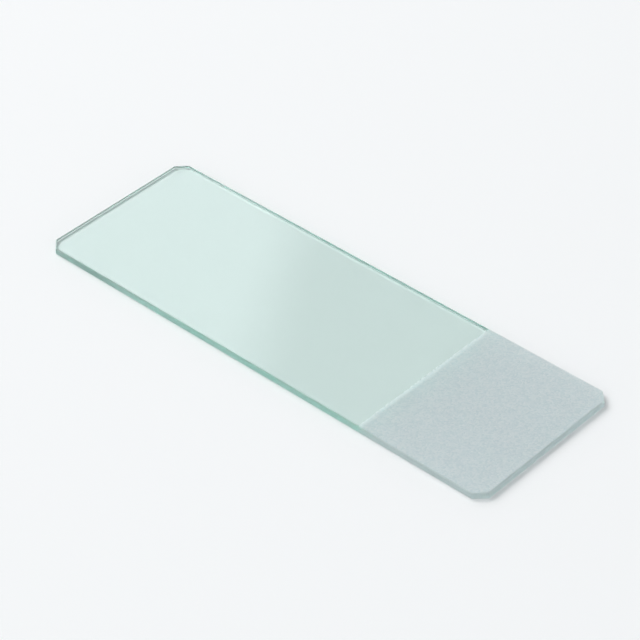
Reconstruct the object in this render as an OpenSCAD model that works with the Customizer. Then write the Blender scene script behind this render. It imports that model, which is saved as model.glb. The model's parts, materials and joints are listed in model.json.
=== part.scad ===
// Microscope slide: one plate of soda-lime float glass with ground edges,
// corners cut off at 45 degrees, and one end frosted on both faces.
// It lies flat on z = 0, with its length along X and the frosted end at +X.

/* [Plate] */
// Length of the slide, end to end
slide_length = 76; // [50:0.5:100]
// Width of the slide, edge to edge
slide_width = 26; // [20:0.5:40]
// Thickness of the glass
slide_thickness = 1; // [0.8:0.05:1.5]

/* [Ground edges] */
// Leg of the 45 degree cut across each corner, seen from above
corner_leg = 1.5; // [0.5:0.1:3]
// Leg of the fine 45 degree bevel ground along every edge, on both faces
arris_leg = 0.15; // [0.05:0.01:0.3]

/* [Frosted end] */
// Length of the frosted area, from the end of the slide
frosted_length = 20; // [15:1:25]
// Depth of glass that the frosting takes off each face
frosting_depth = 0.01; // [0.005:0.005:0.03]

/* [Hidden] */

half_length = slide_length / 2;
half_width = slide_width / 2;
half_thickness = slide_thickness / 2;
frosting_start = half_length - frosted_length;

// From the centre of the slide to the plane of a corner cut, square to it. The
// four cuts mirror each other, so all lie at this one distance.
corner_reach = (half_length + half_width - corner_leg) * sin(45);

// Cutters stand this far past the glass, so that they cut clean through it
past = 1;
// Long enough to reach right along any side, from the point nearest the centre
cutter_length = slide_length + slide_width;

// Each side of the plate as [direction that it faces, distance from the centre]
long_edges = [for (facing = [90, 270]) [facing, half_width]];
ends = [for (facing = [0, 180]) [facing, half_length]];

// A corner cut faces halfway between an end and a long edge
corners = [for (facing = [45, 135, 225, 315]) [facing, corner_reach]];
sides = concat(long_edges, ends, corners);

// The plate as sawn: a block of glass with its middle at the origin
module blank() {
    cube([slide_length, slide_width, slide_thickness], center = true);
}

// What the wheel takes off straight across one corner
module corner_cutter(side) {
    rotate([0, 0, side[0]])
        translate([side[1], -cutter_length / 2, -slide_thickness])
            cube([cutter_length, cutter_length, 2 * slide_thickness]);
}

// What the wheel takes off along the upper arris of one side
module arris_cutter(side) {
    rotate([0, 0, side[0]])
        translate([side[1] - arris_leg / 2, 0, half_thickness - arris_leg / 2])
            rotate([0, -45, 0])
                translate([0, -cutter_length / 2, -arris_leg])
                    cube([2 * arris_leg, cutter_length, 2 * arris_leg]);
}

// What the frosting takes off the upper face at the frosted end
module frosting_cutter() {
    translate([frosting_start, -half_width - past, half_thickness - frosting_depth])
        cube([frosted_length + past, slide_width + 2 * past, past]);
}

// The whole slide, resting on z = 0
module slide() {
    color("#c3dad4")
        translate([0, 0, half_thickness])
            difference() {
                blank();
                for (side = corners) corner_cutter(side);
                for (face = [0, 1]) mirror([0, 0, face]) {
                    for (side = sides) arris_cutter(side);
                    frosting_cutter();
                }
            }
}

slide();
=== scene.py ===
# %% [markdown]
# # A microscope slide
#
# A microscope slide is one small plate of soda-lime float glass. Its two faces
# are as smooth as the float bath left them, its edges and corners are ground,
# and one end is frosted on both faces, so that a pencil can write on it.
#
# The solid comes packed from the CAD model, and that is the frame here: all
# that follows is in metres and lies in the same place as the solid does. The
# frame is loaded first.

# %% Load the frame
import json
import math

import bmesh
import bpy
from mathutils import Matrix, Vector


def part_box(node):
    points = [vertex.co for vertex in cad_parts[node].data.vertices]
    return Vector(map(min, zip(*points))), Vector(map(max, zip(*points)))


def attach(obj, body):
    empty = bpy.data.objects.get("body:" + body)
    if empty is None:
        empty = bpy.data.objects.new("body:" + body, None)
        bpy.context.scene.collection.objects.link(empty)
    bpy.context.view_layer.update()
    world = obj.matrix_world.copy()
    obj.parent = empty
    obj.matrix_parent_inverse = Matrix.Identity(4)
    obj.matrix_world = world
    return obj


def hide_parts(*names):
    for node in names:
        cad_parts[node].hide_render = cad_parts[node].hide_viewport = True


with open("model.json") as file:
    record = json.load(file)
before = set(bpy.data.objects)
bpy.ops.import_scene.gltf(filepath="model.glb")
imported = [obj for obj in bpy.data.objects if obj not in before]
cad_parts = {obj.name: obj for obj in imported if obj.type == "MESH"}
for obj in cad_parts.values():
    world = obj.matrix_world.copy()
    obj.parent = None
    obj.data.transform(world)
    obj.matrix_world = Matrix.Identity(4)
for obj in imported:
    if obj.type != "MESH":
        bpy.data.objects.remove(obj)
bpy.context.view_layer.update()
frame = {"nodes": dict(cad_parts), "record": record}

MM = 0.001
TINY = 0.001 * MM  # closer than this counts as the same place
print("nodes of the frame:", list(frame["nodes"]))

# %% [markdown]
# ## Sizes, read from the solid
#
# The plate below has to lie exactly where the solid lies. Its sizes could be
# written down a second time, but then the two could drift apart, so they are
# measured. The flat end face stops where a corner cut begins, and it starts
# where the fine bevel round the lower face ends, so its own corners give both
# legs. The mount on the frosted area sits at the middle of that area, which
# gives the length of the frosting, and its height gives the depth.

# %% Measure the solid
low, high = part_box("slide")
length, width, thickness = high - low
middle = (low + high) / 2

solid_corners = [vertex.co for vertex in frame["nodes"]["slide"].data.vertices]
end_face = [corner for corner in solid_corners if high.x - corner.x < TINY]
corner_leg = high.y - max(corner.y for corner in end_face)
arris_leg = min(corner.z for corner in end_face) - low.z

mounts = {mount["name"]: mount for mount in frame["record"]["mounts"]}
label_x, _, label_z = mounts["label_face"]["pos_m"]
frosted_length = 2 * (high.x - label_x)
frosting_depth = high.z - label_z
frosting_start = high.x - frosted_length

print(f"plate {length / MM:.2f} x {width / MM:.2f} x {thickness / MM:.2f} mm")
print(f"corner cut {corner_leg / MM:.2f} mm, arris {arris_leg / MM:.2f} mm")
print(f"frosting {frosted_length / MM:.1f} mm long, {frosting_depth / MM:.3f} mm deep")

# %% [markdown]
# ## The plate
#
# A cutter scores the sheet and snaps it into blanks, and a diamond wheel then
# takes off the corners and the sharp edges, which glass workers call arrises.
# The mesh could be drawn as an outline and extruded, but it is simpler to go
# the glass worker's way: a cube at the size of the blank, one bevel on its four
# upright edges for the corners, and one round both faces for the arrises. A
# bevel with a single segment is flat, as the wheel leaves it.

# %% Cut and grind the blank
NEARLY_LEVEL = 0.9  # the faces and the step at the frosting pass, an arris doesn't

plate = bmesh.new()
bmesh.ops.create_cube(plate, size=1)
bmesh.ops.scale(plate, vec=(length, width, thickness), verts=plate.verts)
bmesh.ops.translate(plate, vec=middle, verts=plate.verts)


def is_level(face):
    """True if the face lies flat, or nearly so."""
    return abs(face.normal.z) > NEARLY_LEVEL


def borders_a_face(edge):
    """True if the edge runs round the upper or lower face of the plate."""
    return any(is_level(face) for face in edge.link_faces)


def grind(edges, leg):
    """Takes a flat 45 degree bevel off these edges of the plate."""
    bmesh.ops.bevel(
        plate,
        geom=edges,
        offset=leg,
        affect="EDGES",
        segments=1,
        profile=0.5,
        material=-1,
    )
    plate.normal_update()
    print(f"ground {len(edges)} edges by {leg / MM:.2f} mm")


grind([edge for edge in plate.edges if not borders_a_face(edge)], corner_leg)
grind([edge for edge in plate.edges if borders_a_face(edge)], arris_leg)

# %% [markdown]
# ## The step at the frosting
#
# The end is frosted by sand blown at it past a mask, which takes about a
# hundredth of a millimetre off each face. Two cuts across the plate mark the
# head and the foot of that step, and what lies beyond them is moved in. An
# inset would make a frame on all four sides, and the step has only one.

# %% Sink the frosted areas
STEP_RUN = 0.05 * MM  # the step slopes a little, because sand creeps under the mask

for cut_x in (frosting_start, frosting_start + STEP_RUN):
    bmesh.ops.bisect_plane(
        plate,
        geom=plate.verts[:] + plate.edges[:] + plate.faces[:],
        plane_co=(cut_x, 0, 0),
        plane_no=(1, 0, 0),
    )

foot_x = frosting_start + STEP_RUN - TINY
for level, depth in ((high.z, -frosting_depth), (low.z, frosting_depth)):
    sunk = [
        vertex
        for vertex in plate.verts
        if vertex.co.x > foot_x and abs(vertex.co.z - level) < TINY
    ]
    bmesh.ops.translate(plate, vec=(0, 0, depth), verts=sunk)
    print(f"moved {len(sunk)} corners at z = {level / MM:.2f} mm by {depth / MM:.2f} mm")

# %% [markdown]
# ## Which faces the wheel has ground
#
# The slide has three finishes, and a material slot for each would be the usual
# way. But the renderer has to know which glass a ray is in, and it keeps that
# by material: a ray that came in through one material and left by another would
# drag the tint along with it. So one body of glass gets one material. The mesh
# tells it what to do with each face: the attribute "ground" is 1 on the edges,
# corners and arrises, and 0 on the two faces.

# %% Mark the ground faces and make the piece
plate.normal_update()
ground_layer = plate.faces.layers.float.new("ground")
for face in plate.faces:
    face[ground_layer] = 0.0 if is_level(face) else 1.0

plate_mesh = bpy.data.meshes.new("slide_plate")
plate.to_mesh(plate_mesh)
plate.free()

slide = bpy.data.objects.new("slide_plate", plate_mesh)
bpy.context.scene.collection.objects.link(slide)
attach(slide, "root")
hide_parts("slide")
ground_count = sum(value.value for value in plate_mesh.attributes["ground"].data)
print(f"slide_plate: {len(plate_mesh.polygons)} faces, {ground_count:.0f} of them ground")

# %% [markdown]
# ## Two helpers for materials
#
# Colours are easiest to compare as the hex codes that a colour picker shows,
# and shaders want linear values, so one function turns the first into the
# second. The other adds a node to a tree. What it is given for an input is
# either a value, which is set, or another node's output, which is linked.

# %% Colours and nodes


def linear(hex_code):
    """The linear colour that shaders take, from sRGB hex such as "#dfe8e5"."""
    shares = [int(hex_code[at : at + 2], 16) / 255 for at in (1, 3, 5)]
    return [s / 12.92 if s <= 0.04045 else ((s + 0.055) / 1.055) ** 2.4 for s in shares] + [1]


def add_node(tree, kind, inputs=None, **settings):
    """Adds a node with these settings. An input is given a value, or the output to link."""
    node = tree.nodes.new(kind)
    for name, value in settings.items():
        setattr(node, name, value)
    for name, value in (inputs or {}).items():
        if isinstance(value, bpy.types.NodeSocket):
            tree.links.new(value, node.inputs[name])
        else:
            node.inputs[name].default_value = value
    return node


print(f"the grey #808080 is {linear('#808080')[0]:.3f} in linear values")

# %% [markdown]
# ## The glass: where each finish is
#
# The mesh already says what is ground. The frosting ends at a place along the
# slide, so it is found from the Object coordinates, which are metres here and
# stay with the piece.
#
# Each grain of sand knocks a small pit into the glass. A Voronoi texture is
# made of such cells: its Distance is a cone in each of them, which serves as
# the pit, and its Color is another at random in each, which tells pit from
# pit. The pits of real frosting are 0.03 to 0.05 mm wide. That is too fine to
# show in the render, so they are drawn five times as wide, as a faint tooth.
# Single grains get under the mask too, so each cell at the edge of the frosting
# is in or out by chance.

# %% Masks for the three finishes
glass = bpy.data.materials.new("soda_lime_float_glass")
glass.use_nodes = True
tree = glass.node_tree
tree.nodes.clear()

PIT_WIDTH = 0.22 * MM
STRAY = 0.15 * MM  # how far the edge of the frosting strays from its line
FADE = 0.02 * MM  # half the width of the fade at that edge

position = add_node(tree, "ShaderNodeTexCoord").outputs["Object"]
ground = add_node(tree, "ShaderNodeAttribute", attribute_name="ground").outputs["Fac"]
pits = add_node(tree, "ShaderNodeTexVoronoi", {"Vector": position, "Scale": 1 / PIT_WIDTH})
pit_shape = pits.outputs["Distance"]
pit_shade = pits.outputs["Color"]

along = add_node(tree, "ShaderNodeSeparateXYZ", {"Vector": position}).outputs["X"]
stray = add_node(
    tree, "ShaderNodeMapRange", {"Value": pit_shade, "To Min": -STRAY, "To Max": STRAY}
).outputs["Result"]
strayed = add_node(tree, "ShaderNodeMath", {0: along, 1: stray}, operation="ADD").outputs[0]
frosted = add_node(
    tree,
    "ShaderNodeMapRange",
    {
        "Value": strayed,
        "From Min": frosting_start - FADE,
        "From Max": frosting_start + FADE,
    },
).outputs["Result"]
print("masks:", [node.bl_label for node in tree.nodes])

# %% [markdown]
# ## The glass: three finishes of one surface
#
# - Fire-polished: the float bath leaves glass smooth to the atom, so its
#   roughness is zero. A sheet is never quite flat, though, and its mirror
#   images waver. The waves are a micron high in truth. They are drawn twenty
#   times as high, and still bend only the edge of a reflection.
# - Ground: a fine diamond wheel leaves a satin surface with marks that run
#   along the edge. They are 0.03 mm apart, too fine to show in the render, so
#   they are drawn 0.2 mm apart.
# - Sandblasted: fully matt, and whitish, because light that is turned back and
#   forth between the pits comes out again in all directions. Four tenths of it
#   come back so, and the rest is scattered on its way through. Some pits are
#   greyer than others, and without that the tooth would be lost.
#
# The waves and the marks are Noise textures: wide and plain for the waves, and
# stretched by a Mapping node for the marks.

# %% Waves and wheel marks
WAVE_LENGTH = 14 * MM
MARK_LENGTH, MARK_SPACING = 4 * MM, 0.2 * MM

waves = add_node(
    tree, "ShaderNodeTexNoise", {"Vector": position, "Scale": 1 / WAVE_LENGTH, "Detail": 0}
).outputs["Fac"]
stretched = add_node(
    tree,
    "ShaderNodeMapping",
    {"Vector": position, "Scale": (1 / MARK_LENGTH, 1 / MARK_LENGTH, 1 / MARK_SPACING)},
).outputs["Vector"]
marks = add_node(
    tree, "ShaderNodeTexNoise", {"Vector": stretched, "Scale": 1, "Detail": 2}
).outputs["Fac"]
print(f"waves {WAVE_LENGTH / MM:.0f} mm long, marks {MARK_SPACING / MM:.1f} mm apart")

# %% [markdown]
# ## The glass: what depends on the finish
#
# Roughness, clearness and height all depend on the finish, so one function
# takes the three values of each and mixes them by the two masks. A value is a
# number, or a pattern with the two numbers that it is spread between. A Mix
# node has its two numbers at 2 and 3, behind the factor at 0. The relief of
# all three finishes is a height in metres, so that one Bump node does for all.

# %% Roughness, clearness and height
WAVE_HEIGHT, MARK_DEPTH, PIT_DEPTH = 0.02 * MM, 0.06 * MM, 0.012 * MM


def by_finish(*values):
    """Mixes a value for polished glass, one for ground and one for sandblasted."""
    ready = []
    for value in values:
        if isinstance(value, tuple):
            pattern, lowest, highest = value
            spread = {"Value": pattern, "To Min": lowest, "To Max": highest}
            value = add_node(tree, "ShaderNodeMapRange", spread).outputs["Result"]
        ready.append(value)
    polished, worn_by_wheel, sandblasted = ready
    flats = add_node(tree, "ShaderNodeMix", {0: frosted, 2: polished, 3: sandblasted}).outputs[0]
    return add_node(tree, "ShaderNodeMix", {0: ground, 2: flats, 3: worn_by_wheel}).outputs[0]


roughness = by_finish(0.0, (marks, 0.3, 0.5), (pit_shade, 0.5, 0.7))
clearness = by_finish(1.0, (marks, 0.7, 1.0), 0.6)
height = by_finish(
    (waves, 0.0, WAVE_HEIGHT), (marks, 0.0, MARK_DEPTH), (pit_shape, 0.0, PIT_DEPTH)
)
blasted = by_finish(0.0, 0.0, 1.0)
print("nodes so far:", len(tree.nodes))

# %% [markdown]
# ## The glass: its body
#
# Soda-lime glass has a little iron in it, which takes red light away. Across
# one millimetre it is hardly seen, but light that enters at an edge runs along
# the plate for centimetres, and that turns the edges of a slide sea green. A
# tint painted on the surface can't do that. Volume Absorption can: it dims the
# light by how far it has come through the glass. The index of refraction,
# 1.52, is the textbook value, and it keeps the light inside the plate.
#
# One slide on white paper has next to no colour, and a whole box of them is
# green. This one is drawn as if it came with the box: the absorption is a few
# times as strong as in real glass, and the surface has a faint tint as well. A
# Mix node has its two colours at 6 and 7.

# %% Surface and body
pit_colour = add_node(
    tree,
    "ShaderNodeMix",
    {0: pit_shade, 6: linear("#e2ecef"), 7: linear("#fdffff")},
    data_type="RGBA",
).outputs[2]
colour = add_node(
    tree, "ShaderNodeMix", {0: blasted, 6: linear("#eff6f4"), 7: pit_colour}, data_type="RGBA"
).outputs[2]
relief = add_node(tree, "ShaderNodeBump", {"Height": height, "Distance": 1.0}).outputs["Normal"]
surface = add_node(
    tree,
    "ShaderNodeBsdfPrincipled",
    {
        "Base Color": colour,
        "IOR": 1.52,
        "Roughness": roughness,
        "Transmission Weight": clearness,
        "Normal": relief,
    },
)
body = add_node(
    tree, "ShaderNodeVolumeAbsorption", {"Color": linear("#89ded0"), "Density": 45}
)
add_node(
    tree,
    "ShaderNodeOutputMaterial",
    {"Surface": surface.outputs["BSDF"], "Volume": body.outputs["Volume"]},
)
plate_mesh.materials.append(glass)
print("material:", glass.name)

# %% [markdown]
# ## The floor
#
# The slide lies on matt white paper. Two surfaces in exactly the same place
# flicker, and real glass never touches paper everywhere either, so there is a
# thin gap of air between them.

# %% Paper under the slide
FLOOR_SIDE = 1.2
AIR_GAP = 0.03 * MM

paper_sheet = bmesh.new()
bmesh.ops.create_grid(paper_sheet, x_segments=1, y_segments=1, size=FLOOR_SIDE / 2)
bmesh.ops.translate(paper_sheet, vec=(0, 0, low.z - AIR_GAP), verts=paper_sheet.verts)
floor_mesh = bpy.data.meshes.new("floor")
paper_sheet.to_mesh(floor_mesh)
paper_sheet.free()
floor = bpy.data.objects.new("floor", floor_mesh)
bpy.context.scene.collection.objects.link(floor)

paper = bpy.data.materials.new("matt_white_paper")
paper.use_nodes = True
paper.node_tree.nodes.clear()
paper_surface = add_node(
    paper.node_tree,
    "ShaderNodeBsdfPrincipled",
    {"Base Color": linear("#fafafa"), "Roughness": 1.0, "Specular IOR Level": 0.0},
)
add_node(
    paper.node_tree, "ShaderNodeOutputMaterial", {"Surface": paper_surface.outputs["BSDF"]}
)
floor_mesh.materials.append(paper)
print("floor:", FLOOR_SIDE, "m square")

# %% [markdown]
# ## The camera
#
# The camera looks down on the slide from the side of its frosted end. A long
# lens, from a few lengths away, keeps the long edges nearly parallel.

# %% Camera
CAMERA_AZIMUTH = 42
CAMERA_ELEVATION = 39
FOCAL_LENGTH = 150  # Blender wants this one in millimetres
FRAME_WIDTH = 84 * MM  # what the picture spans at the slide


def towards(azimuth, elevation):
    """The unit vector from the slide to a place at these angles. Azimuth 0 is along -Y."""
    turn, rise = math.radians(azimuth), math.radians(elevation)
    level = math.cos(rise)
    return Vector((math.sin(turn) * level, -math.cos(turn) * level, math.sin(rise)))


lens = bpy.data.cameras.new("camera")
lens.lens = FOCAL_LENGTH
lens.clip_start = 10 * MM
camera = bpy.data.objects.new("camera", lens)
eye = towards(CAMERA_AZIMUTH, CAMERA_ELEVATION)
camera.location = middle + eye * FRAME_WIDTH / 2 / math.tan(lens.angle / 2)
camera.rotation_euler = eye.to_track_quat("Z", "Y").to_euler()
bpy.context.scene.collection.objects.link(camera)
bpy.context.scene.camera = camera
bpy.context.scene.view_settings.view_transform = "Standard"
print(f"camera {camera.location.length:.3f} m away")

# %% [markdown]
# ## The bright side of the room
#
# Clear glass has no colour of its own to show. What one sees is what lies
# behind it and what it mirrors, so the room matters more than the lamps. It has
# one broad bright side, whose edge is mirrored aslant across the clear part of
# the slide: bright at the far end, plain at the near one. A bright panel could
# be moved about until its mirror image sits right, but the mirror law tells
# outright where it belongs.

# %% Aim the bright side
# The edge of the bright side is mirrored along the line between these two places.
SHEEN_FROM = (-16 * MM, high.y)
SHEEN_TO = (0, low.y)


def mirrored(x, y):
    """The way that the camera sees by way of this place on the upper face."""
    ray = (Vector((x, y, high.z)) - camera.location).normalized()
    return Vector((ray.x, ray.y, -ray.z))


# All that is mirrored along a line on the slide lies in one plane through the
# mirror image of the camera, and this is the plane's normal.
bright_way = mirrored(*SHEEN_TO).cross(mirrored(*SHEEN_FROM)).normalized()
if bright_way.dot(mirrored(low.x, 0)) < 0:
    bright_way.negate()
print("bright side of the room:", [round(part, 2) for part in bright_way])

# %% [markdown]
# ## The room
#
# The room is the world: light from all sides, for all kinds of rays alike.
# Near the horizon it is as pale as the paper, so that the floor runs into it.
# Higher up it is dim, apart from the bright side. A Map Range node with a smooth
# step makes each soft edge. It is given the sines of two angles, because that
# is what the height of a direction and a dot product tell.

# %% Light the room
HORIZON_LEVEL = 0.93
ROOM_LEVEL = 0.35
BRIGHT_SIDE = 1.1  # how much brighter the bright side is

world = bpy.data.worlds.new("studio")
world.use_nodes = True
room = world.node_tree
room.nodes.clear()
direction = add_node(room, "ShaderNodeTexCoord").outputs["Generated"]
aside = add_node(
    room, "ShaderNodeVectorMath", {0: direction, 1: bright_way}, operation="DOT_PRODUCT"
).outputs["Value"]
upwards = add_node(room, "ShaderNodeSeparateXYZ", {"Vector": direction}).outputs["Z"]

# For each soft edge: the sine of an angle, the two angles in degrees between which
# the level changes, and the level at each of them.
soft_edges = {}
for name, sine, first_angle, last_angle, first, last in (
    ("near", aside, -1, 1, 0, BRIGHT_SIDE),
    ("far", aside, 30, 50, 1, 0),
    ("horizon", upwards, 10, 25, 0, 1),
):
    soft_edges[name] = add_node(
        room,
        "ShaderNodeMapRange",
        {
            "Value": sine,
            "From Min": math.sin(math.radians(first_angle)),
            "From Max": math.sin(math.radians(last_angle)),
            "To Min": first,
            "To Max": last,
        },
        interpolation_type="SMOOTHSTEP",
    ).outputs["Result"]

above = add_node(
    room,
    "ShaderNodeMath",
    {0: soft_edges["near"], 1: soft_edges["far"], 2: ROOM_LEVEL},
    operation="MULTIPLY_ADD",
).outputs[0]
level = add_node(
    room, "ShaderNodeMix", {0: soft_edges["horizon"], 2: HORIZON_LEVEL, 3: above}
).outputs[0]
light = add_node(room, "ShaderNodeBackground", {"Color": linear("#f3f6f8"), "Strength": level})
add_node(room, "ShaderNodeOutputWorld", {"Surface": light.outputs["Background"]})
bpy.context.scene.world = world
print("soft edges in the room:", list(soft_edges))

# %% [markdown]
# ## The softbox
#
# The room alone gives hardly a shadow, so a lamp adds one. A sun lamp's would
# be too hard. This lamp is nearly as wide as it is far away, as a softbox in a
# studio is, and stands on the side of the clear end.

# %% Softbox
SOFTBOX_SIDE = 1.2
SOFTBOX_AWAY = 1.5
SOFTBOX_AZIMUTH, SOFTBOX_ELEVATION = 285, 52
SOFTBOX_LEVEL = 2.3

lamp = bpy.data.lights.new("softbox", "AREA")
lamp.size = SOFTBOX_SIDE
lamp.energy = SOFTBOX_LEVEL * math.pi * SOFTBOX_SIDE**2
softbox = bpy.data.objects.new("softbox", lamp)
lamp_side = towards(SOFTBOX_AZIMUTH, SOFTBOX_ELEVATION)
softbox.location = middle + lamp_side * SOFTBOX_AWAY
softbox.rotation_euler = lamp_side.to_track_quat("Z", "Y").to_euler()
bpy.context.scene.collection.objects.link(softbox)
print(f"softbox: {lamp.energy:.1f} W")

# %% [markdown]
# ## How far light is followed
#
# Light that runs along the plate is turned back by its faces every two or
# three millimetres. Cycles gives up after a dozen bounces, and then the edges
# go black, so it is allowed more. It also blurs glass in indirect light to
# calm noise, which darkens what lies under a clear plate, so that is turned
# off: the lights here are broad enough without it.

# %% Bounces
BOUNCES = 64

cycles = bpy.context.scene.cycles
cycles.max_bounces = BOUNCES
cycles.glossy_bounces = BOUNCES
cycles.transmission_bounces = BOUNCES
cycles.blur_glossy = 0
print("bounces:", cycles.max_bounces)
